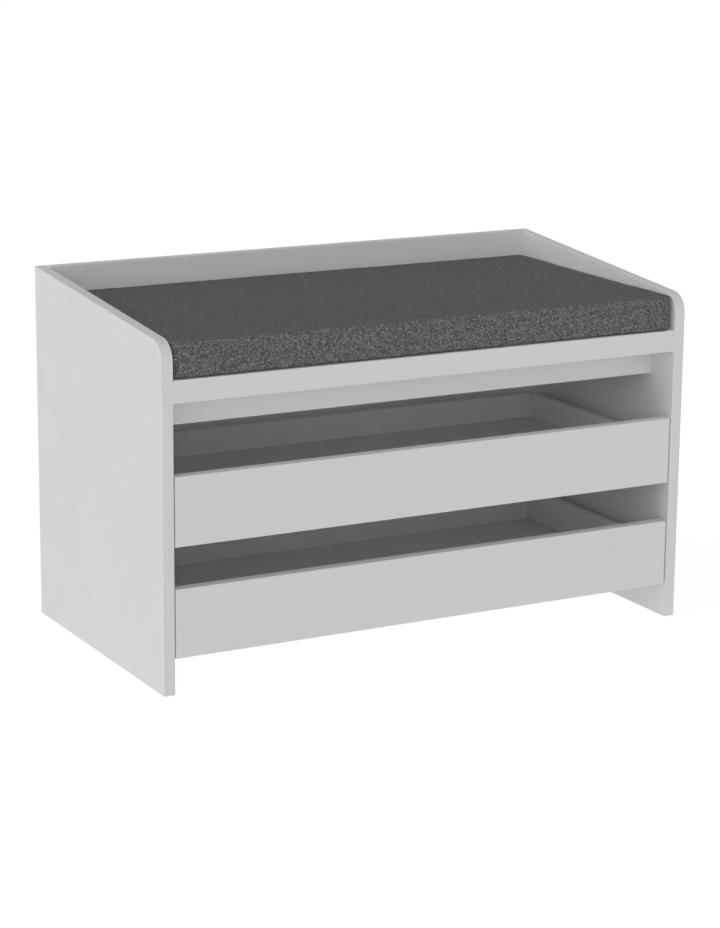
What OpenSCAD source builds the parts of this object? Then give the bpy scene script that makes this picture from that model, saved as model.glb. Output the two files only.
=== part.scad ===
// Entryway bench. Two side panels with a sloped top edge are joined by a seat board, a rail
// and a back panel. Two shallow drawers run between them on roller runners, and a loose
// cushion lies on the seat board. Boards are held by cam locks, dowels and screws.
// The origin is on the floor under the middle of the bench. The front faces -Y.

/* [Overall] */
// Width over the two side panels
width = 800; // [600:10:1200]
// Depth from the front edges to the back face
depth = 420; // [340:5:540]
// Height of the side panels and the back panel at the back
back_height = 500; // [480:5:600]
// Height at which the sloped top edge would meet the front, before it is rounded
front_height = 465; // [450:5:475]
// Radius of the upper front corner of a side panel
corner_r = 28; // [5:1:45]

/* [Boards] */
// Thickness of the side panels and the back panel
panel_t = 16; // [14:1:22]
// Thickness of the seat board
seat_t = 30; // [24:1:34]
// Height of the seat board's underside
seat_z = 386; // [375:1:395]
// Distance of the seat board's front edge behind the side panels' front edges
seat_inset = 1; // [0:0.5:10]
// Height of the rail under the seat
rail_h = 40; // [36:1:50]
// Thickness of the rail
rail_t = 16; // [14:1:22]
// Distance of the rail behind the side panels' front edges
rail_setback = 53; // [20:1:60]
// Height of the back panel's lower edge above the floor
back_z = 48; // [0:1:80]

/* [Cushion] */
// Thickness of the cushion
cushion_t = 48; // [30:1:60]
// Radius of the cushion's upright corners
cushion_r = 12; // [3:0.5:20]
// Gap between the cushion and each side panel
cushion_side_gap = 2; // [1:0.5:20]
// Distance of the cushion behind the side panels' front edges
cushion_inset = 3; // [0:0.5:30]
// Gap between the cushion and the back panel
cushion_back_gap = 1; // [0.5:0.5:20]
// Air under the cushion
cushion_rest_gap = 0.3; // [0.2:0.1:1]

/* [Drawers] */
// Height of a drawer front
front_h = 93; // [85:1:110]
// Thickness of a drawer front
front_t = 16; // [14:1:22]
// Gap between a drawer front and each side panel
front_gap = 2; // [1:0.5:4]
// Distance of the drawer fronts behind the side panels' front edges
front_inset = 1; // [0:0.5:10]
// Height of the lower drawer front's lower edge
lower_front_z = 48.5; // [30:0.5:70]
// Height from the lower drawer to the upper one
drawer_pitch = 149; // [130:1:170]
// Thickness of a drawer's sides and back
box_t = 12; // [11:0.5:16]
// Height of the drawer sides' top edges above the front's lower edge
box_top_rise = 67.5; // [62:0.5:85]
// Height of the lower drawer's sides
lower_box_h = 60; // [50:1:66]
// Height of the upper drawer's sides
upper_box_h = 50; // [50:1:66]
// Free space between a drawer and the back panel
box_back_space = 61; // [10:1:90]
// Thickness of a drawer's bottom sheet
bottom_t = 3; // [2.5:0.5:5]
// Height of the bottom sheet's groove above the sides' lower edges
groove_up = 9.5; // [6:0.5:10]
// Depth of the groove for the bottom sheet
groove_depth = 5; // [3:0.5:6]
// Play of the bottom sheet above it in its groove
groove_play = 0.2; // [0.1:0.05:0.5]
// Play between the bottom sheet's edge and the floor of its groove
groove_edge_play = 0.5; // [0.2:0.1:1]

/* [Runners] */
// Space between a drawer side and the side panel, taken up by the runner
runner_gap = 12.7; // [11:0.1:16]
// Thickness of the runners' steel sheet
sheet_t = 1.2; // [0.9:0.1:1.4]
// Length of drawer side left free behind its runner
runner_end_gap = 26; // [0:1:60]
// Distance of a cabinet runner behind the drawer front
runner_start = 2; // [1:0.5:6]
// Length that the two halves of a runner still overlap with the drawer open
runner_overlap = 80; // [50:1:120]
// Height of a cabinet runner's lower edge above the drawer side's lower edge
runner_rise = 2; // [1:0.5:3]
// Reach of a cabinet runner's flanges from the side panel
channel_w = 9; // [7:0.1:9.5]
// Air between the cabinet runner's top flange and the drawer runner's flange over it
flange_gap = 0.8; // [0.5:0.1:2]
// Distance between the drawer runner's flange and the cabinet runner's web
flange_side_gap = 1.3; // [0.6:0.1:3]
// Width of the drawer runner's foot under the drawer side
foot_w = 10; // [6:0.5:11]
// Radius of a roller
roller_r = 8; // [7:0.5:9]
// Width of a roller
roller_w = 6.2; // [5:0.1:6.4]
// Distance between a roller and the cabinet runner's web
roller_web_gap = 1; // [0.9:0.1:1.2]
// Distance of the front rollers from the front ends of the cabinet runners
front_roller_inset = 12; // [10:1:20]
// Distance of the rear rollers from the rear ends of the drawer runners
rear_roller_inset = 12; // [8:1:20]
// Gap between a roller and the track that it rolls on
track_play = 0.15; // [0.1:0.05:0.3]
// Air over a rear roller, under the cabinet runner's top flange
roller_top_gap = 0.25; // [0.2:0.05:0.5]
// Bevel at a roller's edges
roller_edge = 0.6; // [0.2:0.1:1]
// Length of top flange cut away behind a front roller
roller_bay_gap = 6; // [2:0.5:10]
// Radius of a roller's pin
pin_r = 2; // [1.5:0.1:2.5]
// Radial running clearance of a roller on its pin
pin_play = 0.05; // [0.02:0.01:0.1]
// Play between a roller's faces and the collar and head of its pin
pin_side_play = 0.1; // [0.05:0.05:0.2]
// Thickness of a pin's head
pin_head_t = 0.5; // [0.3:0.1:0.6]
// Radius of a pin's head and collar
pin_head_r = 3.2; // [2.8:0.1:3.6]
// Height of the stops that end the rear roller's travel
stop_h = 3; // [2:0.5:5]
// Gap between a rear roller and its stop at either end of the travel
stop_play = 0.3; // [0.2:0.1:1]

/* [Cam locks] */
// Radius of a cam lock in the bench's boards
cam_r = 7.5; // [6:0.5:8]
// Depth of a cam lock beyond its bolt's axis
cam_below = 4.5; // [3.5:0.5:5]
// Distance from a board's end to its cam's axis
cam_reach = 34; // [24:1:40]
// Radius of a cam lock in a drawer side
small_cam_r = 6; // [5:0.5:7]
// Depth of a drawer's cam lock beyond its bolt's axis
small_cam_below = 3.9; // [3.4:0.1:4.5]
// Distance from a drawer side's end to its cam's axis
small_cam_reach = 24; // [18:1:34]
// Radius of a cam bolt's shank
bolt_r = 3; // [2.5:0.1:3.2]
// Radius of a cam bolt's neck, which the cam grips behind the head
bolt_neck_r = 1.7; // [1.2:0.1:2]
// Radius of the threaded end of a cam bolt
bolt_thread_r = 2.6; // [2.2:0.1:3]
// Length of a cam bolt's threaded end
bolt_thread_len = 9; // [7:0.5:11]
// Length of a cam bolt's head
bolt_head_len = 4; // [3:0.5:5]
// Clearance around a cam bolt's shank in its board
bolt_play = 0.5; // [0.2:0.1:1]
// Width of the screwdriver cross in a cam lock's face
cross_w = 1.4; // [0.8:0.1:2]
// Depth of the screwdriver cross in a cam lock's face
cross_depth = 1.6; // [0.8:0.1:2]

/* [Dowels and screws] */
// Radius of a dowel in the bench's boards
dowel_r = 4; // [3:0.5:4.5]
// Wood left past the end of a dowel in a side panel
dowel_left = 5; // [3:0.5:7]
// Depth of a dowel in the other board's end
dowel_end_len = 19; // [15:0.5:22]
// Radius of a drawer's dowel
small_dowel_r = 3; // [2:0.5:3.5]
// Wood left past the end of a dowel in a drawer front
small_dowel_left = 7; // [3:0.5:9]
// Depth of a drawer's dowel in the drawer side
small_dowel_end_len = 15; // [12:0.5:20]
// Radial play of fasteners in their holes
hole_play = 0.05; // [0.02:0.01:0.1]
// Extra depth of a blind hole past the fastener in it
hole_extra = 1; // [0.5:0.5:2]
// Radius of a screw through the back panel
back_screw_r = 2.5; // [2:0.1:3]
// Length of a screw through the back panel
back_screw_len = 50; // [40:1:60]
// Radius of a small screw
screw_r = 1.75; // [1.5:0.05:2]
// Radius of a small screw's head in the runners' sheet
runner_screw_head_r = 3; // [2.6:0.1:3.2]
// Wood left past the point of a runner's screw in a side panel
cabinet_screw_left = 5; // [2:0.5:7]
// Wood left past the point of a runner's screw in a drawer side
drawer_screw_left = 3; // [1.5:0.5:4]
// Length of a screw from a drawer's side into its back
box_screw_len = 32; // [26:1:40]

/* [Fastener places] */
// Distance of the seat's cam bolts from the side panels' front edges and from the back panel
seat_bolt_inset = 100; // [90:1:110]
// Distance between a cam bolt and the dowel beside it
dowel_step = 32; // [24:1:48]
// Height of the rail's cam bolts above its lower edge
rail_bolt_up = 11; // [10:0.5:13]
// Height of the rail's end dowels above its lower edge
rail_dowel_up = 29; // [26:0.5:30]
// Distance of the rail's upright dowels from the middle
rail_dowel_x = 180; // [100:5:240]
// Height of the back panel's lower cam bolts above its lower edge
back_bolt_low = 70; // [50:1:120]
// Distance of the back panel's upper cam bolts below its top edge
back_bolt_high = 150; // [140:1:200]
// Distance of the outer screws through the back panel from the middle
back_screw_x = 240; // [100:5:280]
// Height of a drawer's cam bolts above the sides' lower edges
box_bolt_up = 36; // [34:1:42]
// Height of a drawer's dowels above the sides' lower edges
box_dowel_up = 20; // [18:1:24]
// Heights of the screws into a drawer's back above the sides' lower edges
box_screw_ups = [20, 40];
// Height of a drawer runner's screws above the drawer side's lower edge
drawer_screw_up = 17; // [16:0.5:18]
// Distance of a runner's end screws from its ends
runner_screw_inset = 45; // [35:1:60]

/* [Hidden] */
$fn = 48;
// Overshoot of a cutting shape past the face that it cuts
over = 1;

// Faces of the bench's frame
inner_x = width / 2 - panel_t;
front_y = -depth / 2;
back_y = depth / 2;
back_in_y = back_y - panel_t;
seat_top = seat_z + seat_t;
rail_z = seat_z - rail_h;
rail_y = front_y + rail_setback;

// Faces of a drawer's box
box_x = inner_x - runner_gap;
box_in_x = box_x - box_t;
box_front_y = front_y + front_inset + front_t;
box_back_y = back_in_y - box_back_space;
box_back_in_y = box_back_y - box_t;

// Lengths and heights of a runner, from the drawer side's lower edge up
runner_len = box_back_y - box_front_y - runner_end_gap;
travel = runner_len - runner_overlap;
runner_y = box_front_y + runner_start;
channel_in_h = track_play + 2 * roller_r + roller_top_gap;
channel_h = channel_in_h + 2 * sheet_t;
flange_up = runner_rise + channel_h + flange_gap;

// Places of the rollers
roller_x = [inner_x - sheet_t - roller_web_gap - roller_w, inner_x - sheet_t - roller_web_gap];
front_roller_y = runner_y + front_roller_inset;
front_roller_up = flange_up - track_play - roller_r;
rear_roller_y = box_front_y + runner_len - rear_roller_inset;
rear_roller_up = runner_rise + sheet_t + track_play + roller_r;
roller_bay = front_roller_inset + roller_r + roller_bay_gap;

// Places of the fasteners in one side panel, as [y, z]
seat_bolt_y = [front_y + seat_bolt_inset, back_in_y - seat_bolt_inset];
seat_dowel_y = [seat_bolt_y[0] + dowel_step, seat_bolt_y[1] - dowel_step];
seat_axis_z = seat_z + seat_t / 2;
rail_axis_y = rail_y + rail_t / 2;
back_axis_y = back_in_y + panel_t / 2;
back_bolt_z = [back_z + back_bolt_low, back_height - back_bolt_high];
back_dowel_z = [back_bolt_z[0] + dowel_step, back_bolt_z[1] - dowel_step];
bolt_places = concat(
    [for (y = seat_bolt_y) [y, seat_axis_z]],
    [[rail_axis_y, rail_z + rail_bolt_up]],
    [for (z = back_bolt_z) [back_axis_y, z]]
);
dowel_places = concat(
    [for (y = seat_dowel_y) [y, seat_axis_z]],
    [[rail_axis_y, rail_z + rail_dowel_up]],
    [for (z = back_dowel_z) [back_axis_y, z]]
);
back_screw_places = [-back_screw_x, 0, back_screw_x];
rail_dowel_places = [-rail_dowel_x, rail_dowel_x];
dowel_face_len = panel_t - dowel_left;
small_dowel_face_len = front_t - small_dowel_left;
cabinet_screw_len = panel_t - cabinet_screw_left;
drawer_screw_len = box_t - drawer_screw_left;
cabinet_screw_y = [
    runner_y + runner_screw_inset,
    runner_y + runner_len / 2,
    runner_y + runner_len - runner_screw_inset
];
drawer_screw_y = [
    box_front_y + runner_screw_inset,
    box_front_y + runner_len - runner_screw_inset
];

// The two drawers, by the height of the front's lower edge and the height of the box's sides
LOWER = [lower_front_z, lower_box_h];
UPPER = [lower_front_z + drawer_pitch, upper_box_h];
DRAWERS = [LOWER, UPPER];
// Height of the lower edges of a drawer's sides
function box_z(drawer) = drawer[0] + box_top_rise - drawer[1];

LEFT = -1;
RIGHT = 1;
SIDES = [LEFT, RIGHT];

// ---- Simple shapes ----

// A box between two values on each axis
module block(x, y, z) {
    translate([x[0], y[0], z[0]]) cube([x[1] - x[0], y[1] - y[0], z[1] - z[0]]);
}

// A round bar along X or Z between two values on that axis
module bar_x(x, y, z, r) {
    translate([x[0], y, z]) rotate([0, 90, 0]) cylinder(r = r, h = x[1] - x[0]);
}
module bar_z(x, y, z, r) {
    translate([x, y, z[0]]) cylinder(r = r, h = z[1] - z[0]);
}

// A cone along X that widens from the first radius to the second
module cone_x(x, y, z, r) {
    translate([x[0], y, z]) rotate([0, 90, 0]) cylinder(r1 = r[0], r2 = r[1], h = x[1] - x[0]);
}

// Pieces drawn for the right side are mirrored for the left one
module on_side(side) {
    if (side == LEFT) mirror([1, 0, 0]) children();
    else children();
}

// ---- Fasteners, each with the axis of its length along +X and its working end at x = 0 ----

// Cam bolt: the thread points to +X, the head reaches a cam at x = -reach
module cam_bolt(reach, cam) {
    color("silver") {
        bar_x([0, bolt_thread_len], 0, 0, bolt_thread_r);
        bar_x([cam - reach + bolt_play, 0], 0, 0, bolt_r);
        bar_x([-reach + bolt_head_len / 2, cam - reach + bolt_play], 0, 0, bolt_neck_r);
        bar_x([-reach - bolt_head_len / 2, -reach + bolt_head_len / 2], 0, 0, bolt_r);
    }
}

// Holes for a cam bolt in the board's face and in the other board's end
module bolt_face_hole() {
    bar_x([-over, bolt_thread_len + hole_extra], 0, 0, bolt_thread_r + hole_play);
}
module bolt_end_hole(reach) {
    bar_x([-reach, over], 0, 0, bolt_r + bolt_play);
}

// Cam lock: a drum with its axis along +Z and its outer face at z = 0. Its bolt comes in
// from +X at the depth of the axis, and its face has a cross for a screwdriver.
module cam_lock(r, axis_depth, below) {
    drum_r = r - hole_play;
    cross_len = r;
    color("darkgray") difference() {
        bar_z(0, 0, [-axis_depth - below, 0], drum_r);
        bar_x([-bolt_head_len / 2 - bolt_play, r + over], 0, -axis_depth, bolt_r + bolt_play);
        block([-cross_len / 2, cross_len / 2], [-cross_w / 2, cross_w / 2], [-cross_depth, over]);
        block([-cross_w / 2, cross_w / 2], [-cross_len / 2, cross_len / 2], [-cross_depth, over]);
    }
}
module cam_hole(r, axis_depth, below) {
    bar_z(0, 0, [-axis_depth - below, over], r);
}

// Countersunk screw whose head is flush at x = 0 and whose point is at x = -length
module countersunk_screw(r, head_r, head_h, length) {
    tip_h = 2 * r;
    color("silver") difference() {
        union() {
            cone_x([-head_h, 0], 0, 0, [r, head_r]);
            bar_x([tip_h - length, -head_h], 0, 0, r);
            cone_x([-length, tip_h - length], 0, 0, [r / 4, r]);
        }
        block([-head_h / 2, over], [-head_r / 2, head_r / 2], [-r / 4, r / 4]);
        block([-head_h / 2, over], [-r / 4, r / 4], [-head_r / 2, head_r / 2]);
    }
}
module screw_hole(r, head_r, head_h, length) {
    cone_x([-head_h, 0], 0, 0, [r + hole_play, head_r + hole_play]);
    bar_x([0, over], 0, 0, head_r + hole_play);
    bar_x([-length - hole_extra, -head_h], 0, 0, r + hole_play);
}

// ---- Places of the fasteners, for the right side of the bench ----

// The seat's cams are let in from below, the rail's and the back panel's from behind
module at_seat_cams() {
    for (y = seat_bolt_y) translate([inner_x - cam_reach, y, seat_z]) rotate([180, 0, 0]) children();
}
module at_rail_cam() {
    translate([inner_x - cam_reach, rail_y + rail_t, rail_z + rail_bolt_up]) rotate([-90, 0, 0])
        children();
}
module at_back_cams() {
    for (z = back_bolt_z) translate([inner_x - cam_reach, back_y, z]) rotate([-90, 0, 0])
        children();
}
module at_bolts() {
    for (p = bolt_places) translate([inner_x, p[0], p[1]]) children();
}
module dowel_bars(face_extra, end_extra, play) {
    for (p = dowel_places)
        bar_x([inner_x - dowel_end_len - end_extra, inner_x + dowel_face_len + face_extra],
            p[0], p[1], dowel_r + play);
}
// Upright dowels from the rail into the seat board
module rail_dowel_bars(extra, play) {
    for (x = rail_dowel_places)
        bar_z(x, rail_axis_y, [seat_z - dowel_end_len - extra, seat_z + dowel_face_len + extra],
            dowel_r + play);
}
module at_back_screws() {
    for (x = back_screw_places) translate([x, back_y, seat_axis_z]) rotate([0, 0, 90]) children();
}
module at_cabinet_screws(drawer) {
    z = box_z(drawer) + runner_rise + channel_h / 2;
    for (y = cabinet_screw_y) translate([inner_x - sheet_t, y, z]) mirror([1, 0, 0]) children();
}

// ---- Bench frame ----

// Outline of a side panel: a sloped top edge whose front end is rounded into the front edge
slope = (back_height - front_height) / depth;
slope_len = sqrt(1 + slope * slope);
corner_y = front_y + corner_r;
corner_z = front_height + slope * corner_r - corner_r * slope_len;
module side_outline() {
    polygon([
        [front_y, 0],
        [back_y, 0],
        [back_y, back_height],
        [corner_y - corner_r * slope / slope_len, corner_z + corner_r / slope_len],
        [corner_y, corner_z],
        [front_y, corner_z]
    ]);
    translate([corner_y, corner_z]) circle(r = corner_r);
}

module side_panel(side) {
    color("whitesmoke") on_side(side) difference() {
        translate([inner_x, 0, 0]) rotate([90, 0, 90]) linear_extrude(panel_t) side_outline();
        at_bolts() bolt_face_hole();
        dowel_bars(hole_extra, 0, hole_play);
        for (drawer = DRAWERS) at_cabinet_screws(drawer) cabinet_screw_hole();
    }
}

back_head_r = 2 * back_screw_r;
back_head_h = back_screw_r;
module back_panel() {
    color("whitesmoke") difference() {
        block([-inner_x, inner_x], [back_in_y, back_y], [back_z, back_height]);
        for (side = SIDES) on_side(side) {
            at_bolts() bolt_end_hole(cam_reach);
            at_back_cams() cam_hole(cam_r, panel_t / 2, cam_below);
            dowel_bars(0, hole_extra, hole_play);
        }
        at_back_screws() back_screw_hole();
    }
}
module back_screw_hole() {
    screw_hole(back_screw_r, back_head_r, back_head_h, back_screw_len);
}

module seat_board() {
    color("whitesmoke") difference() {
        block([-inner_x, inner_x], [front_y + seat_inset, back_in_y], [seat_z, seat_top]);
        for (side = SIDES) on_side(side) {
            at_bolts() bolt_end_hole(cam_reach);
            at_seat_cams() cam_hole(cam_r, seat_t / 2, cam_below);
            dowel_bars(0, hole_extra, hole_play);
        }
        rail_dowel_bars(hole_extra, hole_play);
        at_back_screws() back_screw_hole();
    }
}

module front_rail() {
    color("whitesmoke") difference() {
        block([-inner_x, inner_x], [rail_y, rail_y + rail_t], [rail_z, seat_z]);
        for (side = SIDES) on_side(side) {
            at_bolts() bolt_end_hole(cam_reach);
            at_rail_cam() cam_hole(cam_r, rail_t / 2, cam_below);
            dowel_bars(0, hole_extra, hole_play);
        }
        rail_dowel_bars(hole_extra, hole_play);
    }
}

module seat_cam_locks() {
    for (side = SIDES) on_side(side) at_seat_cams() cam_lock(cam_r, seat_t / 2, cam_below);
}
module panel_cam_locks() {
    for (side = SIDES) on_side(side) {
        at_rail_cam() cam_lock(cam_r, rail_t / 2, cam_below);
        at_back_cams() cam_lock(cam_r, panel_t / 2, cam_below);
    }
}
module cam_bolts() {
    for (side = SIDES) on_side(side) at_bolts() cam_bolt(cam_reach, cam_r);
}
module dowels() {
    color("burlywood") {
        for (side = SIDES) on_side(side) dowel_bars(0, 0, 0);
        rail_dowel_bars(0, 0);
    }
}
module back_panel_screws() {
    at_back_screws() countersunk_screw(back_screw_r, back_head_r, back_head_h, back_screw_len);
}

// ---- Cushion ----

module cushion_outline() {
    x = inner_x - cushion_side_gap;
    y = [front_y + cushion_inset, back_in_y - cushion_back_gap];
    round_x = x - cushion_r;
    round_y = [y[0] + cushion_r, y[1] - cushion_r];
    translate([-round_x, y[0]]) square([2 * round_x, y[1] - y[0]]);
    translate([-x, round_y[0]]) square([2 * x, round_y[1] - round_y[0]]);
    for (cx = [-round_x, round_x], cy = round_y) translate([cx, cy]) circle(r = cushion_r);
}

module seat_cushion() {
    color("dimgray") translate([0, 0, seat_top + cushion_rest_gap])
        linear_extrude(cushion_t) cushion_outline();
}

// ---- Runners: a channel on each side panel, and a profile with a flange on each drawer ----

runner_head_h = sheet_t;
module cabinet_screw_hole() {
    screw_hole(screw_r, runner_screw_head_r, runner_head_h, sheet_t + cabinet_screw_len);
}

// Cabinet runner: a channel open to the drawer, whose top flange leaves room for the front
// roller. Two tabs on the lower flange stop the rear roller.
module cabinet_runner(side, drawer) {
    z0 = box_z(drawer) + runner_rise;
    z1 = z0 + channel_h;
    web_x = inner_x - sheet_t;
    flange_x = [inner_x - channel_w, web_x + sheet_t];
    y = [runner_y, runner_y + runner_len];
    open_stop_y = rear_roller_y - travel - roller_r - stop_play - sheet_t;
    closed_stop_y = rear_roller_y + roller_r + stop_play;
    color("white") on_side(side) difference() {
        union() {
            block([web_x, inner_x], y, [z0, z1]);
            block(flange_x, y, [z0, z0 + sheet_t]);
            block(flange_x, [y[0] + roller_bay, y[1]], [z1 - sheet_t, z1]);
            for (stop_y = [open_stop_y, closed_stop_y])
                block(flange_x, [stop_y, stop_y + sheet_t], [z0, z0 + sheet_t + stop_h]);
        }
        at_cabinet_screws(drawer) cabinet_screw_hole();
        bar_x([web_x - over, inner_x + over], front_roller_y, box_z(drawer) + front_roller_up,
            pin_r + pin_play);
    }
}

// Drawer runner: a foot under the drawer side, a leg beside it and a flange over the channel
module drawer_runner(side, drawer) {
    z0 = box_z(drawer);
    z1 = z0 + flange_up + sheet_t;
    leg_x = box_x + sheet_t;
    y = [box_front_y, box_front_y + runner_len];
    color("white") on_side(side) difference() {
        union() {
            block([box_x, leg_x], y, [z0 - sheet_t, z1]);
            block([box_x - foot_w, leg_x], y, [z0 - sheet_t, z0]);
            block([box_x, inner_x - sheet_t - flange_side_gap], y, [z1 - sheet_t, z1]);
        }
        at_drawer_screws(drawer) drawer_screw_hole();
        bar_x([box_x - over, leg_x + over], rear_roller_y, z0 + rear_roller_up, pin_r + pin_play);
    }
}
module at_drawer_screws(drawer) {
    for (y = drawer_screw_y) translate([box_x + sheet_t, y, box_z(drawer) + drawer_screw_up])
        children();
}
module drawer_screw_hole() {
    screw_hole(screw_r, runner_screw_head_r, runner_head_h, sheet_t + drawer_screw_len);
}

module cabinet_runner_screws() {
    for (side = SIDES, drawer = DRAWERS) on_side(side) at_cabinet_screws(drawer)
        countersunk_screw(screw_r, runner_screw_head_r, runner_head_h, sheet_t + cabinet_screw_len);
}
module drawer_runner_screws(drawer) {
    for (side = SIDES) on_side(side) at_drawer_screws(drawer)
        countersunk_screw(screw_r, runner_screw_head_r, runner_head_h, sheet_t + drawer_screw_len);
}

// Roller: a wheel with a bore and bevelled edges
module roller(side, drawer, y, up) {
    edge = roller_edge;
    color("white") on_side(side) translate([roller_x[0], y, box_z(drawer) + up]) rotate([0, 90, 0])
        difference() {
            union() {
                cylinder(r1 = roller_r - edge, r2 = roller_r, h = edge);
                translate([0, 0, edge]) cylinder(r = roller_r, h = roller_w - 2 * edge);
                translate([0, 0, roller_w - edge])
                    cylinder(r1 = roller_r, r2 = roller_r - edge, h = edge);
            }
            translate([0, 0, -over]) cylinder(r = pin_r + pin_play, h = roller_w + 2 * over);
        }
}
module front_roller(side, drawer) {
    roller(side, drawer, front_roller_y, front_roller_up);
}
module rear_roller(side, drawer) {
    roller(side, drawer, rear_roller_y, rear_roller_up);
}

// Pins: a shank through the sheet and the roller, a collar between them and a head outside
module cabinet_roller_pins() {
    web_x = inner_x - sheet_t;
    head_x = roller_x[0] - pin_side_play;
    color("silver") for (side = SIDES, drawer = DRAWERS) on_side(side) {
        z = box_z(drawer) + front_roller_up;
        bar_x([head_x, inner_x], front_roller_y, z, pin_r);
        bar_x([roller_x[1] + pin_side_play, web_x], front_roller_y, z, pin_head_r);
        bar_x([head_x - pin_head_t, head_x], front_roller_y, z, pin_head_r);
    }
}
module drawer_roller_pins(drawer) {
    z = box_z(drawer) + rear_roller_up;
    head_x = roller_x[1] + pin_side_play;
    color("silver") for (side = SIDES) on_side(side) {
        bar_x([box_x, head_x], rear_roller_y, z, pin_r);
        bar_x([box_x + sheet_t, roller_x[0] - pin_side_play], rear_roller_y, z, pin_head_r);
        bar_x([head_x, head_x + pin_head_t], rear_roller_y, z, pin_head_r);
    }
}

// ---- Drawers ----

// Groove for the bottom sheet, as one slab that reaches into all four boards
module bottom_groove(drawer) {
    x = box_in_x + groove_depth;
    y = [box_front_y - groove_depth, box_back_in_y + groove_depth];
    z = box_z(drawer) + groove_up;
    block([-x, x], y, [z, z + bottom_t + groove_play]);
}

box_axis_x = box_x - box_t / 2;
// A bolt's or dowel's axis points from the drawer side to the drawer front
module at_box_bolt(drawer, up) {
    translate([box_axis_x, box_front_y, box_z(drawer) + up]) rotate([0, 0, -90]) children();
}
module at_box_cam(drawer) {
    translate([box_x, box_front_y + small_cam_reach, box_z(drawer) + box_bolt_up])
        rotate([0, 90, 0]) rotate([0, 0, -90]) children();
}
module at_box_screws(drawer) {
    y = box_back_in_y + box_t / 2;
    for (up = box_screw_ups) translate([box_x, y, box_z(drawer) + up]) children();
}
box_head_r = 2 * screw_r;
box_head_h = screw_r;
module box_screw_hole() {
    screw_hole(screw_r, box_head_r, box_head_h, box_screw_len);
}
module box_dowel(face_extra, end_extra, play) {
    bar_x([-small_dowel_end_len - end_extra, small_dowel_face_len + face_extra], 0, 0,
        small_dowel_r + play);
}

module drawer_front(drawer) {
    x = inner_x - front_gap;
    color("whitesmoke") difference() {
        block([-x, x], [box_front_y - front_t, box_front_y], [drawer[0], drawer[0] + front_h]);
        bottom_groove(drawer);
        for (side = SIDES) on_side(side) {
            at_box_bolt(drawer, box_bolt_up) bolt_face_hole();
            at_box_bolt(drawer, box_dowel_up) box_dowel(hole_extra, 0, hole_play);
        }
    }
}

module drawer_side(side, drawer) {
    z0 = box_z(drawer);
    color("whitesmoke") on_side(side) difference() {
        block([box_in_x, box_x], [box_front_y, box_back_y], [z0, z0 + drawer[1]]);
        bottom_groove(drawer);
        at_box_bolt(drawer, box_bolt_up) bolt_end_hole(small_cam_reach);
        at_box_cam(drawer) cam_hole(small_cam_r, box_t / 2, small_cam_below);
        at_box_bolt(drawer, box_dowel_up) box_dowel(0, hole_extra, hole_play);
        at_box_screws(drawer) box_screw_hole();
        at_drawer_screws(drawer) drawer_screw_hole();
    }
}

module drawer_back(drawer) {
    z0 = box_z(drawer);
    color("whitesmoke") difference() {
        block([-box_in_x, box_in_x], [box_back_in_y, box_back_y], [z0, z0 + drawer[1]]);
        bottom_groove(drawer);
        for (side = SIDES) on_side(side) at_box_screws(drawer) box_screw_hole();
    }
}

module drawer_bottom(drawer) {
    reach = groove_depth - groove_edge_play;
    x = box_in_x + reach;
    y = [box_front_y - reach, box_back_in_y + reach];
    z = box_z(drawer) + groove_up;
    color("white") block([-x, x], y, [z, z + bottom_t]);
}

module drawer_cam_locks(drawer) {
    for (side = SIDES) on_side(side) at_box_cam(drawer)
        cam_lock(small_cam_r, box_t / 2, small_cam_below);
}
module drawer_cam_bolts(drawer) {
    for (side = SIDES) on_side(side) at_box_bolt(drawer, box_bolt_up)
        cam_bolt(small_cam_reach, small_cam_r);
}
module drawer_dowels(drawer) {
    color("burlywood") for (side = SIDES) on_side(side) at_box_bolt(drawer, box_dowel_up)
        box_dowel(0, 0, 0);
}
module drawer_back_screws(drawer) {
    for (side = SIDES) on_side(side) at_box_screws(drawer)
        countersunk_screw(screw_r, box_head_r, box_head_h, box_screw_len);
}

side_panel(LEFT);  // left_side_panel
side_panel(RIGHT);  // right_side_panel
back_panel();
seat_board();
front_rail();
seat_cam_locks();
panel_cam_locks();
cam_bolts();
dowels();
back_panel_screws();
cabinet_runner(LEFT, LOWER);  // lower_left_cabinet_runner
cabinet_runner(RIGHT, LOWER);  // lower_right_cabinet_runner
cabinet_runner(LEFT, UPPER);  // upper_left_cabinet_runner
cabinet_runner(RIGHT, UPPER);  // upper_right_cabinet_runner
cabinet_runner_screws();
cabinet_roller_pins();
seat_cushion();
drawer_front(LOWER);  // lower_drawer_front
drawer_side(LEFT, LOWER);  // lower_drawer_left_side
drawer_side(RIGHT, LOWER);  // lower_drawer_right_side
drawer_back(LOWER);  // lower_drawer_back
drawer_bottom(LOWER);  // lower_drawer_bottom
drawer_runner(LEFT, LOWER);  // lower_left_drawer_runner
drawer_runner(RIGHT, LOWER);  // lower_right_drawer_runner
drawer_runner_screws(LOWER);  // lower_drawer_runner_screws
drawer_roller_pins(LOWER);  // lower_drawer_roller_pins
drawer_cam_locks(LOWER);  // lower_drawer_cam_locks
drawer_cam_bolts(LOWER);  // lower_drawer_cam_bolts
drawer_dowels(LOWER);  // lower_drawer_dowels
drawer_back_screws(LOWER);  // lower_drawer_back_screws
drawer_front(UPPER);  // upper_drawer_front
drawer_side(LEFT, UPPER);  // upper_drawer_left_side
drawer_side(RIGHT, UPPER);  // upper_drawer_right_side
drawer_back(UPPER);  // upper_drawer_back
drawer_bottom(UPPER);  // upper_drawer_bottom
drawer_runner(LEFT, UPPER);  // upper_left_drawer_runner
drawer_runner(RIGHT, UPPER);  // upper_right_drawer_runner
drawer_runner_screws(UPPER);  // upper_drawer_runner_screws
drawer_roller_pins(UPPER);  // upper_drawer_roller_pins
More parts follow.
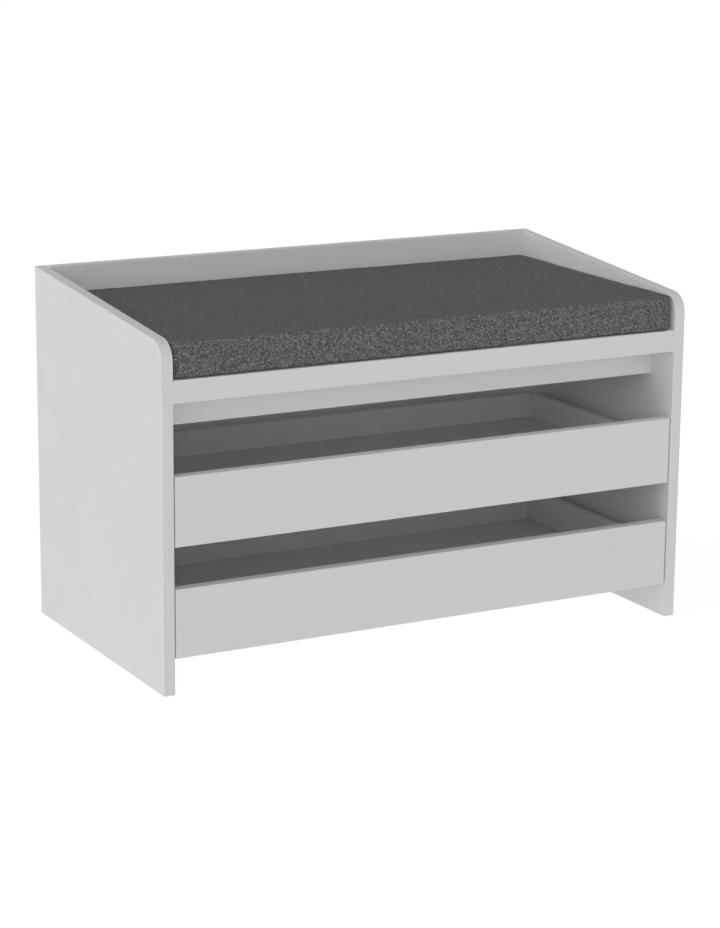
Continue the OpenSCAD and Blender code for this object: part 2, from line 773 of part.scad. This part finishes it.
drawer_cam_locks(UPPER);  // upper_drawer_cam_locks
drawer_cam_bolts(UPPER);  // upper_drawer_cam_bolts
drawer_dowels(UPPER);  // upper_drawer_dowels
drawer_back_screws(UPPER);  // upper_drawer_back_screws
front_roller(LEFT, LOWER);  // lower_left_front_roller
front_roller(RIGHT, LOWER);  // lower_right_front_roller
rear_roller(LEFT, LOWER);  // lower_left_rear_roller
rear_roller(RIGHT, LOWER);  // lower_right_rear_roller
front_roller(LEFT, UPPER);  // upper_left_front_roller
front_roller(RIGHT, UPPER);  // upper_right_front_roller
rear_roller(LEFT, UPPER);  // upper_left_rear_roller
rear_roller(RIGHT, UPPER);  // upper_right_rear_roller
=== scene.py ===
import math

import bmesh
import bpy
from mathutils import Matrix, Vector, noise


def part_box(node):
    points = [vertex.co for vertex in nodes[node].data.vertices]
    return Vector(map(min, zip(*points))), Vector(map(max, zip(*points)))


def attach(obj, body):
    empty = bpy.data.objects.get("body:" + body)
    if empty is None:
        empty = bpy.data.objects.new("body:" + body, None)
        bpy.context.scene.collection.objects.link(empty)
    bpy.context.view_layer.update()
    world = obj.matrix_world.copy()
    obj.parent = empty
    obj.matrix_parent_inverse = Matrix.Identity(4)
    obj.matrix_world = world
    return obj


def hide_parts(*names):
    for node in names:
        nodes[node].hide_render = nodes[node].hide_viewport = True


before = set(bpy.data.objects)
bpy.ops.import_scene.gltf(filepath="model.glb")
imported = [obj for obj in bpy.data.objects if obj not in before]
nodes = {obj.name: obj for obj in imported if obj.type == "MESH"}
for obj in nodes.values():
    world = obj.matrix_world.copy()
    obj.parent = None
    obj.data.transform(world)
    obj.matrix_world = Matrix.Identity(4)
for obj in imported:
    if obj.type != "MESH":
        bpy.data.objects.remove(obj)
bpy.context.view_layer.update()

MM = 0.001
scene = bpy.context.scene


# ---------------------------------------------------------------- camera, light and floor

CAMERA_PLACE = Vector((-1.76125, -3.20941, 1.11935))
CAMERA_PAN = 0.50212       # from +Y towards +X, in radians
CAMERA_TILT = -0.24078     # above the horizon
CAMERA_ROLL = 0.00965
SENSOR = 36.0              # on the long side of the frame, in mm
LENS = 103.68


def make_camera():
    across = math.cos(CAMERA_TILT)
    forward = Vector((
        math.sin(CAMERA_PAN) * across, math.cos(CAMERA_PAN) * across, math.sin(CAMERA_TILT)))
    level = forward.cross(Vector((0, 0, 1))).normalized()
    upright = level.cross(forward)
    right = level * math.cos(CAMERA_ROLL) + upright * math.sin(CAMERA_ROLL)
    up = right.cross(forward)
    data = bpy.data.cameras.new("camera")
    data.sensor_width = SENSOR
    data.lens = LENS
    camera = bpy.data.objects.new("camera", data)
    turn = Matrix((right, up, -forward)).transposed().to_4x4()
    camera.matrix_world = Matrix.Translation(CAMERA_PLACE) @ turn
    scene.collection.objects.link(camera)
    scene.camera = camera


# The studio's white surround: its mean light, and how much more comes from +X, +Y and +Z.
SURROUND = 0.76
SURROUND_SLOPE = (-0.432, -0.1176, -0.344)
BACKDROP_WHITE = 1.0       # what the camera sees behind the bench


def make_world():
    world = bpy.data.worlds.new("studio")
    world.use_nodes = True
    tree = world.node_tree
    tree.nodes.clear()
    place = tree.nodes.new("ShaderNodeTexCoord")
    slope = tree.nodes.new("ShaderNodeVectorMath")
    slope.operation = "DOT_PRODUCT"
    slope.inputs[1].default_value = SURROUND_SLOPE
    level = tree.nodes.new("ShaderNodeMath")
    level.inputs[1].default_value = SURROUND
    seen = tree.nodes.new("ShaderNodeLightPath")
    choose = tree.nodes.new("ShaderNodeMix")
    choose.inputs["B"].default_value = BACKDROP_WHITE
    shine = tree.nodes.new("ShaderNodeBackground")
    shine.inputs["Color"].default_value = (1, 1, 1, 1)
    out = tree.nodes.new("ShaderNodeOutputWorld")
    link = tree.links.new
    link(place.outputs["Generated"], slope.inputs[0])
    link(slope.outputs["Value"], level.inputs[0])
    link(seen.outputs["Is Camera Ray"], choose.inputs["Factor"])
    link(level.outputs["Value"], choose.inputs["A"])
    link(choose.outputs["Result"], shine.inputs["Strength"])
    link(shine.outputs["Background"], out.inputs["Surface"])
    scene.world = world


FLOOR_SIDE = 400.0
FLOOR_WHITE = 0.25
FLOOR_GLOW = 0.497         # a floor lit from below, as on a light table
FLOOR_GLOW_SEEN = 0.88     # the same floor as the camera exposes it


def make_floor():
    mesh = bpy.data.meshes.new("floor")
    half = FLOOR_SIDE / 2
    corners = [(-half, -half, 0), (half, -half, 0), (half, half, 0), (-half, half, 0)]
    mesh.from_pydata(corners, [], [(0, 1, 2, 3)])
    floor = bpy.data.objects.new("floor", mesh)
    scene.collection.objects.link(floor)
    material = bpy.data.materials.new("floor_white")
    material.use_nodes = True
    shader = material.node_tree.nodes["Principled BSDF"]
    shader.inputs["Base Color"].default_value = (FLOOR_WHITE,) * 3 + (1,)
    shader.inputs["Roughness"].default_value = 1.0
    shader.inputs["Specular IOR Level"].default_value = 0.0
    shader.inputs["Emission Color"].default_value = (1, 1, 1, 1)
    seen = material.node_tree.nodes.new("ShaderNodeLightPath")
    glow = material.node_tree.nodes.new("ShaderNodeMix")
    glow.inputs["A"].default_value = FLOOR_GLOW
    glow.inputs["B"].default_value = FLOOR_GLOW_SEEN
    material.node_tree.links.new(seen.outputs["Is Camera Ray"], glow.inputs["Factor"])
    material.node_tree.links.new(glow.outputs["Result"], shader.inputs["Emission Strength"])
    mesh.materials.append(material)


# ---------------------------------------------------------------- materials

class Looks:
    """One material. Each call adds a node and gives back its output socket."""

    def __init__(self, name):
        self.material = bpy.data.materials.new(name)
        self.material.use_nodes = True
        self.tree = self.material.node_tree
        self.tree.nodes.clear()
        self.object_place = self.make("ShaderNodeTexCoord").outputs["Object"]

    def make(self, kind, **settings):
        node = self.tree.nodes.new(kind)
        for key, value in settings.items():
            setattr(node, key, value)
        return node

    def put(self, socket, value):
        if isinstance(value, bpy.types.NodeSocket):
            self.tree.links.new(value, socket)
        else:
            socket.default_value = value

    def math(self, operation, first, second=0.0, third=0.0):
        node = self.make("ShaderNodeMath", operation=operation)
        for socket, value in zip(node.inputs, (first, second, third)):
            self.put(socket, value)
        return node.outputs[0]

    def noise(self, scale, detail=2.0, place=None, roughness=0.5):
        node = self.make("ShaderNodeTexNoise")
        self.put(node.inputs["Vector"], place or self.object_place)
        node.inputs["Scale"].default_value = scale
        node.inputs["Detail"].default_value = detail
        node.inputs["Roughness"].default_value = roughness
        return node.outputs["Fac"]

    def stretched(self, factors):
        node = self.make("ShaderNodeVectorMath", operation="MULTIPLY")
        self.put(node.inputs[0], self.object_place)
        node.inputs[1].default_value = factors
        return node.outputs[0]

    def span(self, value, low, high, new_low, new_high):
        node = self.make("ShaderNodeMapRange")
        names = ("From Min", "From Max", "To Min", "To Max")
        for name, number in zip(names, (low, high, new_low, new_high)):
            node.inputs[name].default_value = number
        self.put(node.inputs["Value"], value)
        return node.outputs["Result"]

    def ramp(self, value, *stops):
        """Colours along 0 to 1. Each stop is (place, (r, g, b))."""
        node = self.make("ShaderNodeValToRGB")
        points = node.color_ramp.elements
        while len(points) < len(stops):
            points.new(1.0)
        for point, (place, colour) in zip(points, stops):
            point.position = place
            point.color = (*colour, 1)
        self.put(node.inputs["Fac"], value)
        return node.outputs["Color"]

    def bump(self, height, distance, strength=1.0):
        node = self.make("ShaderNodeBump")
        node.inputs["Distance"].default_value = distance
        node.inputs["Strength"].default_value = strength
        self.put(node.inputs["Height"], height)
        return node.outputs["Normal"]

    def finish(self, colour, roughness, normal, **numbers):
        """numbers are the shader's own sockets, with _ for a space."""
        shader = self.make("ShaderNodeBsdfPrincipled")
        self.put(shader.inputs["Base Color"], colour)
        self.put(shader.inputs["Roughness"], roughness)
        self.put(shader.inputs["Normal"], normal)
        for name, value in numbers.items():
            shader.inputs[name.replace("_", " ")].default_value = value
        out = self.make("ShaderNodeOutputMaterial")
        self.tree.links.new(shader.outputs[0], out.inputs["Surface"])
        return self.material


def grey(level):
    return (level, level, level)


BOARD_WHITE = 0.86
# The bevelled edges are painted a lighter white than the board's faces: a painted highlight along every
# arris.
ARRIS_HIGHLIGHT_WHITE = 0.90


def board_material(name, white, mottle=0.02, rough=(0.40, 0.52)):
    """Satin melamine: a fine pearl texture, a faint cloudiness, and the same grain in its
    roughness."""
    look = Looks(name)
    cloud = look.noise(14, 3)
    grain = look.noise(1100, 2)
    pearl = look.noise(380, 1)
    tone = look.math("ADD", look.math("MULTIPLY", cloud, 0.65), look.math("MULTIPLY", grain, 0.35))
    colour = look.ramp(tone, (0.25, grey(white * (1 - mottle))), (0.75, grey(white * (1 + mottle))))
    height = look.math("ADD", look.math("MULTIPLY", pearl, 0.7), look.math("MULTIPLY", grain, 0.3))
    roughness = look.span(grain, 0.3, 0.7, *rough)
    return look.finish(colour, roughness, look.bump(height, 0.06 * MM, 0.5), Specular_IOR_Level=0.35)


def hardboard_material():
    """Thin lacquered hardboard: matt, with a faint fibre under the paint."""
    look = Looks("matt_lacquered_hardboard")
    fibre = look.noise(1, 4, look.stretched((260, 900, 900)), 0.6)
    cloud = look.noise(20, 2)
    tone = look.math("ADD", look.math("MULTIPLY", cloud, 0.5), look.math("MULTIPLY", fibre, 0.5))
    colour = look.ramp(tone, (0.25, grey(0.81)), (0.75, grey(0.85)))
    return look.finish(
        colour, look.span(fibre, 0.3, 0.7, 0.55, 0.7), look.bump(fibre, 0.1 * MM, 0.5),
        Specular_IOR_Level=0.3)


def powder_coat_material():
    look = Looks("white_powder_coat")
    peel = look.noise(700, 1)
    speck = look.noise(3000, 1)
    colour = look.ramp(look.noise(30, 2), (0.3, grey(0.80)), (0.7, grey(0.83)))
    height = look.math("ADD", look.math("MULTIPLY", peel, 0.8), look.math("MULTIPLY", speck, 0.2))
    roughness = look.span(speck, 0.3, 0.7, 0.28, 0.4)
    return look.finish(colour, roughness, look.bump(height, 0.05 * MM, 0.6))


def nylon_material():
    look = Looks("moulded_nylon")
    mould = look.noise(900, 2)
    colour = look.ramp(look.noise(60, 2), (0.3, (0.78, 0.775, 0.74)), (0.7, (0.84, 0.835, 0.81)))
    return look.finish(
        colour, look.span(mould, 0.3, 0.7, 0.36, 0.5), look.bump(mould, 0.03 * MM, 0.6),
        Subsurface_Weight=0.15, Subsurface_Scale=2 * MM)


def plated_material():
    """Bright zinc plate: a slight blue and straw bloom with fine scratches."""
    look = Looks("zinc_plated_steel")
    bloom = look.noise(240, 2)
    scratch = look.noise(1, 2, look.stretched((4000, 600, 4000)))
    colour = look.ramp(bloom, (0.3, (0.58, 0.60, 0.63)), (0.7, (0.66, 0.65, 0.61)))
    roughness = look.span(scratch, 0.3, 0.7, 0.25, 0.42)
    return look.finish(colour, roughness, look.bump(scratch, 0.01 * MM, 0.5), Metallic=1.0)


def die_cast_material():
    look = Looks("raw_die_cast_zinc")
    flow = look.noise(500, 4, roughness=0.65)
    colour = look.ramp(flow, (0.3, grey(0.40)), (0.7, grey(0.50)))
    roughness = look.span(flow, 0.3, 0.7, 0.42, 0.62)
    return look.finish(colour, roughness, look.bump(flow, 0.04 * MM, 0.6), Metallic=0.9)


def beech_material():
    look = Looks("raw_beech")
    grain = look.noise(1, 4, look.stretched((120, 1500, 1500)), 0.6)
    ray = look.noise(1, 1, look.stretched((700, 2600, 2600)))
    tone = look.math("ADD", look.math("MULTIPLY", grain, 0.7), look.math("MULTIPLY", ray, 0.3))
    colour = look.ramp(
        tone, (0.3, (0.42, 0.24, 0.12)), (0.55, (0.58, 0.37, 0.20)), (0.75, (0.66, 0.46, 0.28)))
    return look.finish(
        colour, look.span(grain, 0.3, 0.7, 0.5, 0.7), look.bump(grain, 0.1 * MM, 0.5),
        Specular_IOR_Level=0.3)


SIDE_PANEL = 0.6           # the weave map's third number on the front; the lids have less than half
YARN = 1.9 * MM            # from one yarn to the next
FLECK = 1.0                # how long a fleck runs along its yarn, in yarns
FABRIC_DARK, FABRIC_MIDDLE, FABRIC_LIGHT = 0.089, 0.171, 0.33
FABRIC_TINT = (1.0, 0.98, 1.035)
LID_CONTRAST = 0.55        # the top and bottom panels' flecks stand out less than the side strip's


def fabric_material():
    """Plain weave of melange yarns. The weave map gives places on each cut panel, in metres."""
    look = Looks("heather_weave")
    panel = look.make("ShaderNodeAttribute", attribute_name="weave").outputs["Vector"]
    wander = look.make("ShaderNodeTexNoise")
    look.put(wander.inputs["Vector"], panel)
    wander.inputs["Scale"].default_value = 120
    drift = look.make("ShaderNodeVectorMath", operation="SCALE")
    look.put(drift.inputs[0], wander.outputs["Color"])
    drift.inputs["Scale"].default_value = 0.9 * YARN
    place = look.make("ShaderNodeVectorMath", operation="ADD")
    look.put(place.inputs[0], panel)
    look.put(place.inputs[1], drift.outputs[0])
    split = look.make("ShaderNodeSeparateXYZ")
    look.put(split.inputs[0], place.outputs[0])
    across = look.math("DIVIDE", split.outputs["X"], YARN)
    along = look.math("DIVIDE", split.outputs["Y"], YARN)
    column, row = look.math("FLOOR", across), look.math("FLOOR", along)
    over = look.math("FLOORED_MODULO", look.math("ADD", column, row), 2.0)

    def dyed(level):
        return tuple(level * part for part in FABRIC_TINT)

    def yarn_tone(own, run, seed):
        """A tone that changes along each yarn, from 0 to 1."""
        start = look.make("ShaderNodeTexWhiteNoise", noise_dimensions="1D")
        look.put(start.inputs["W"], look.math("ADD", own, seed))
        piece = look.math("FLOOR", look.math("ADD", look.math("DIVIDE", run, FLECK), start.outputs["Value"]))
        where = look.make("ShaderNodeCombineXYZ")
        for socket, value in zip(where.inputs, (own, piece, seed)):
            look.put(socket, value)
        tone = look.make("ShaderNodeTexWhiteNoise", noise_dimensions="3D")
        look.put(tone.inputs["Vector"], where.outputs[0])
        return tone.outputs["Value"]

    def chosen(first, second):
        pick = look.make("ShaderNodeMix")
        look.put(pick.inputs["Factor"], over)
        look.put(pick.inputs["A"], first)
        look.put(pick.inputs["B"], second)
        return pick.outputs["Result"]

    def rounded(run):
        """A yarn's round back: 1 on its middle, 0 at its sides."""
        return look.math("ABSOLUTE", look.math("SINE", look.math("MULTIPLY", run, math.pi)))

    tone = chosen(yarn_tone(column, along, 3.5), yarn_tone(row, across, 91.5))
    lid = look.math("LESS_THAN", split.outputs["Z"], SIDE_PANEL / 2)
    contrast = look.span(lid, 0, 1, 1, LID_CONTRAST)
    tone = look.math("MULTIPLY_ADD", look.math("SUBTRACT", tone, 0.5), contrast, 0.5)
    side, length = rounded(across), rounded(along)
    back = look.math("POWER", chosen(side, length), 0.6)
    arch = look.math("POWER", chosen(length, side), 0.35)
    crown = look.math("MULTIPLY", back, arch)
    fuzz = look.noise(5200, 2, panel)
    height = look.math("ADD", crown, look.math("MULTIPLY", fuzz, 0.35))
    colour = look.ramp(
        tone, (0.0, dyed(FABRIC_DARK)), (0.55, dyed(FABRIC_MIDDLE)), (1.0, dyed(FABRIC_LIGHT)))
    # Painted shade and highlight on the weave: the yarn colour is made darker in the hollows between yarns
    # and under the fuzz, and lighter on the yarn crowns.
    depth = look.math("ADD", look.math("MULTIPLY", crown, 0.7), look.math("MULTIPLY", fuzz, 0.3))
    shade = look.span(depth, 0.15, 0.8, 0.55, 1.15)
    colour_with_painted_shading = look.make("ShaderNodeVectorMath", operation="SCALE")
    look.put(colour_with_painted_shading.inputs[0], colour)
    look.put(colour_with_painted_shading.inputs["Scale"], shade)
    return look.finish(
        colour_with_painted_shading.outputs[0], look.span(fuzz, 0.3, 0.7, 0.8, 0.95), look.bump(height, 0.35 * MM, 0.8),
        Specular_IOR_Level=0.08, Sheen_Weight=0.02, Sheen_Roughness=0.5)


# ---------------------------------------------------------------- the carried CAD nodes

ARRIS = 0.7 * MM           # the small round on every edge of a board
SHEET_ARRIS = 0.25 * MM


def soften(node, width, arris_highlight_material=None):
    """Joins the node's split faces and rounds its edges. The mesh itself stays as packed."""
    weld = node.modifiers.new("join", "WELD")
    weld.merge_threshold = 0.002 * MM
    flat = node.modifiers.new("flat_faces", "DECIMATE")
    flat.decimate_type = "DISSOLVE"
    flat.angle_limit = math.radians(0.3)
    arris = node.modifiers.new("arris", "BEVEL")
    arris.width = width
    arris.segments = 2
    arris.limit_method = "ANGLE"
    arris.angle_limit = math.radians(40)
    arris.use_clamp_overlap = False
    # The edge material goes on the rounds of the arris; for the boards it is a lighter white, a painted
    # highlight.
    if arris_highlight_material:
        node.data.materials.append(arris_highlight_material)
        arris.material = 1
    even = node.modifiers.new("shading", "WEIGHTED_NORMAL")
    even.keep_sharp = False


def dress_frame():
    board = board_material("satin_melamine", BOARD_WHITE)
    # The arris material is the board's white made lighter: a painted highlight along the bevelled edges.
    arris = board_material("melamine_arris_highlight", ARRIS_HIGHLIGHT_WHITE, 0.03, (0.34, 0.46))
    finishes = {
        "white_board": board,
        "drawer_bottom_sheet": hardboard_material(),
        "runner_white": powder_coat_material(),
        "roller_nylon": nylon_material(),
        "plated_steel": plated_material(),
        "zinc": die_cast_material(),
        "beech": beech_material(),
    }
    for name, node in nodes.items():
        if name == "seat_cushion":
            continue
        slot = node.data.materials[0].name
        node.data.materials[0] = finishes[slot]
        if slot == "white_board":
            soften(node, ARRIS, arris)
        elif slot == "runner_white":
            soften(node, SHEET_ARRIS)


# ---------------------------------------------------------------- the cushion

CELL = 6 * MM              # side of a quad before the last subdivision
CORNER = 12 * MM           # round of the upright corners
START_IN = Vector((1.5, 1.5, 0.4)) * MM  # how much smaller each half starts, because it swells
PRESSURE = 4.0
LAST_FRAME = 20
FIRMNESS = 0.06            # the foam's share of a free swelling
CAP = 5 * MM               # how far the stuffing may push the cover
SIDE_ROOM = 0.2 * MM       # kept inside the CAD solid's sides and back
SEAM_WIDTH = 1.6 * MM
SEAM_DEPTH = 0.7 * MM
LOWER_SEAM_DEPTH = 1.5 * MM
DENT, DENT_SCALE = 0.5 * MM, 14      # slow waves of the cut foam, and how many in a metre
PUCKER, PUCKER_SCALE = 0.25 * MM, 60  # smaller ones of the cover


def lines(low, high):
    """Evenly spaced places from low to high, about a cell apart."""
    count = max(2, round((high - low) / CELL))
    return [low + (high - low) * i / count for i in range(count + 1)]


def round_corner(x, y, half_x, half_y):
    """Brings a point outside an upright corner's round onto it."""
    cx, cy = half_x - CORNER, half_y - CORNER
    dx, dy = abs(x) - cx, abs(y) - cy
    reach = math.hypot(dx, dy)
    if dx > 0 and dy > 0 and reach > CORNER:
        x = math.copysign(cx + dx * CORNER / reach, x)
        y = math.copysign(cy + dy * CORNER / reach, y)
    return x, y


def closed_pad(half):
    """A closed box of even quads with round upright corners, centred on the origin."""
    xs, ys, zs = (lines(-side, side) for side in half)
    nx, ny, nz = len(xs) - 1, len(ys) - 1, len(zs) - 1
    mesh = bmesh.new()
    made = {}

    def quad(*corners):
        for i, j, k in corners:
            if (i, j, k) not in made:
                x, y = round_corner(xs[i], ys[j], half.x, half.y)
                made[i, j, k] = mesh.verts.new((x, y, zs[k]))
        mesh.faces.new([made[corner] for corner in corners])

    for i in range(nx):
        for j in range(ny):
            quad((i, j, 0), (i, j + 1, 0), (i + 1, j + 1, 0), (i + 1, j, 0))
            quad((i, j, nz), (i + 1, j, nz), (i + 1, j + 1, nz), (i, j + 1, nz))
    for k in range(nz):
        for i in range(nx):
            quad((i, 0, k), (i + 1, 0, k), (i + 1, 0, k + 1), (i, 0, k + 1))
            quad((i, ny, k), (i, ny, k + 1), (i + 1, ny, k + 1), (i + 1, ny, k))
        for j in range(ny):
            quad((0, j, k), (0, j, k + 1), (0, j + 1, k + 1), (0, j + 1, k))
            quad((nx, j, k), (nx, j + 1, k), (nx, j + 1, k + 1), (nx, j, k + 1))
    data = bpy.data.meshes.new("cushion")
    mesh.to_mesh(data)
    mesh.free()
    pad = bpy.data.objects.new("cushion", data)
    scene.collection.objects.link(pad)
    return pad


def swell(pad):
    """Puffs the closed cover up with Cloth, and keeps the share of it that firm foam allows."""
    cloth = pad.modifiers.new("cloth", "CLOTH")
    cloth.settings.quality = 6
    cloth.settings.use_pressure = True
    cloth.settings.uniform_pressure_force = PRESSURE
    cloth.settings.effector_weights.gravity = 0
    cloth.point_cache.frame_start = scene.frame_start = 1
    cloth.point_cache.frame_end = scene.frame_end = LAST_FRAME
    for number in range(1, LAST_FRAME + 1):
        scene.frame_set(number)
    swollen = pad.evaluated_get(bpy.context.evaluated_depsgraph_get())
    steps = [(new.co - old.co) * FIRMNESS for new, old in zip(swollen.data.vertices, pad.data.vertices)]
    pad.modifiers.remove(cloth)
    scene.frame_set(1)
    for vertex, step in zip(pad.data.vertices, steps):
        reach = max(step.length, 1e-9)
        vertex.co += step * (CAP * math.tanh(reach / CAP) / reach)


def is_lid(normal):
    """Whether a face belongs to the top or bottom panel and not to the strip round the side."""
    return abs(normal.z) > 0.7


def sew(pad):
    """Sinks the plain seams where the side strip meets the top and bottom panels."""
    mesh = bmesh.new()
    mesh.from_mesh(pad.data)
    mesh.normal_update()
    seams = [e for e in mesh.edges if is_lid(e.link_faces[0].normal) != is_lid(e.link_faces[1].normal)]
    made = bmesh.ops.bevel(
        mesh, geom=seams, offset=SEAM_WIDTH, offset_type="OFFSET", segments=2, profile=0.6, affect="EDGES")
    mesh.normal_update()
    ring = set(made["faces"])
    for vertex in {v for face in ring for v in face.verts}:
        if all(face in ring for face in vertex.link_faces):
            vertex.co -= vertex.normal * (LOWER_SEAM_DEPTH if vertex.normal.z < 0 else SEAM_DEPTH)
    mesh.to_mesh(pad.data)
    mesh.free()


def subdivide(pad):
    fine = pad.modifiers.new("fine", "SUBSURF")
    fine.levels = 1
    smooth = bpy.data.meshes.new_from_object(pad.evaluated_get(bpy.context.evaluated_depsgraph_get()))
    pad.modifiers.clear()
    pad.data = smooth


def fit(pad, low, high):
    """Brings the cover's sides to the CAD solid's."""
    points = [v.co for v in pad.data.vertices]
    for axis in (0, 1):
        least, most = min(p[axis] for p in points), max(p[axis] for p in points)
        size = (high[axis] - low[axis] - 2 * SIDE_ROOM) / (most - least)
        for p in points:
            p[axis] = low[axis] + SIDE_ROOM + (p[axis] - least) * size


def handle(pad):
    """The slight unevenness of cut foam and of a cover that has been handled."""
    normals = [v.normal.copy() for v in pad.data.vertices]
    for vertex, normal in zip(pad.data.vertices, normals):
        wave = noise.noise(vertex.co * DENT_SCALE) * DENT
        wave += noise.noise(vertex.co * PUCKER_SCALE) * PUCKER
        vertex.co += normal * wave


def mark_weave(pad):
    """The place of each face's corners on its own cut panel, in metres, for the fabric's yarns."""
    data = pad.data
    places = data.attributes.new("weave", "FLOAT_VECTOR", "CORNER")
    values = []
    for face in data.polygons:
        normal = face.normal
        if is_lid(normal):
            first, second, panel = 0, 1, 0.0 if normal.z > 0 else 0.2
        elif abs(normal.y) > abs(normal.x):
            first, second, panel = 0, 2, SIDE_PANEL if normal.y < 0 else SIDE_PANEL + 0.2
        else:
            first, second, panel = 1, 2, SIDE_PANEL + (0.4 if normal.x < 0 else 0.6)
        for index in face.vertices:
            place = data.vertices[index].co
            values += [place[first] + 1.0, place[second] + 1.0, panel]
    places.data.foreach_set("vector", values)


def make_cushion():
    low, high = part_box("seat_cushion")
    pad = closed_pad((high - low) / 2 - START_IN)
    swell(pad)
    pad.data.transform(Matrix.Translation((low + high) / 2))
    sew(pad)
    subdivide(pad)
    handle(pad)
    fit(pad, low, high)
    for vertex in pad.data.vertices:
        vertex.co.z = max(vertex.co.z, low.z)
    mark_weave(pad)
    pad.data.polygons.foreach_set("use_smooth", [True] * len(pad.data.polygons))
    pad.data.materials.append(fabric_material())
    return pad


# ---------------------------------------------------------------- all of it

scene.view_settings.view_transform = "Standard"
make_camera()
make_world()
make_floor()
dress_frame()
cushion = make_cushion()
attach(cushion, "cushion")
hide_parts("seat_cushion")
